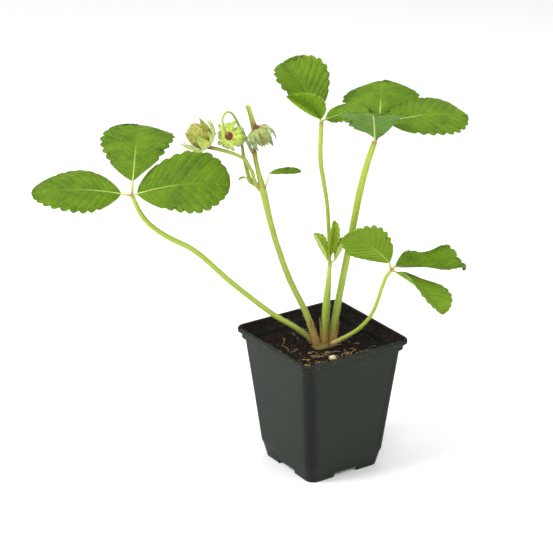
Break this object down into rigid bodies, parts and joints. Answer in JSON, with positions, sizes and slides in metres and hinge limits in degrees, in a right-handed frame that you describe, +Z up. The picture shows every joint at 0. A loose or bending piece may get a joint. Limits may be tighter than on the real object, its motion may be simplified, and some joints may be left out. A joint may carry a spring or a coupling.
{
  "type": "potted strawberry plant",
  "caption": "Young strawberry plant with long-stalked toothed leaves and a truss of unripe fruiting heads, growing in a tapered square nursery pot of dark potting mix.",
  "frame": {"origin": "middle of the whole plant's bounding box, on the plane the pot's feet stand on", "axes": "+Z up out of the pot; the square pot's sides run along X and Y; the pot stands towards +X and -Y of the origin because the longest leaf reaches out towards -X and +Y"},
  "size_m": [0.2675, 0.2127, 0.2923],
  "materials": {
    "pot_plastic": "satin",
    "potting_mix": "matte",
    "perlite_white": "matte",
    "crown_brown": "matte",
    "stem_green": "satin",
    "leaf_green": "satin",
    "sepal_green": "matte",
    "berry_green": "satin"
  },
  "bodies": {
    "root": {"pot": "pot_plastic", "soil": "potting_mix", "perlite": "perlite_white", "crown": "crown_brown", "stipule_front": "crown_brown", "stipule_back": "crown_brown", "petiole_left": "stem_green", "petiole_back": "stem_green", "petiole_right": "stem_green", "petiole_low": "stem_green", "petiole_young": "stem_green", "flower_stalk": "stem_green", "pedicel_middle": "stem_green", "pedicel_right": "stem_green", "pedicel_left": "stem_green", "pedicel_bud": "stem_green", "leaf_left_tip": "leaf_green", "leaf_left_back": "leaf_green", "leaf_left_inner": "leaf_green", "leaf_back_upright": "leaf_green", "leaf_back_front": "leaf_green", "leaf_back_right": "leaf_green", "leaf_right_tip": "leaf_green", "leaf_right_front": "leaf_green", "leaf_right_back": "leaf_green", "leaf_low_left": "leaf_green", "leaf_low_back": "leaf_green", "leaf_low_right": "leaf_green", "leaf_young_left": "leaf_green", "leaf_young_mid": "leaf_green", "leaf_young_right": "leaf_green", "bract_leaf": "leaf_green", "bract_scale": "leaf_green", "calyx_left": "sepal_green", "berry_left": "berry_green", "calyx_middle": "sepal_green", "berry_middle": "berry_green", "calyx_right": "sepal_green", "berry_right": "berry_green", "flower_bud": "sepal_green"}
  },
  "joints": []
}
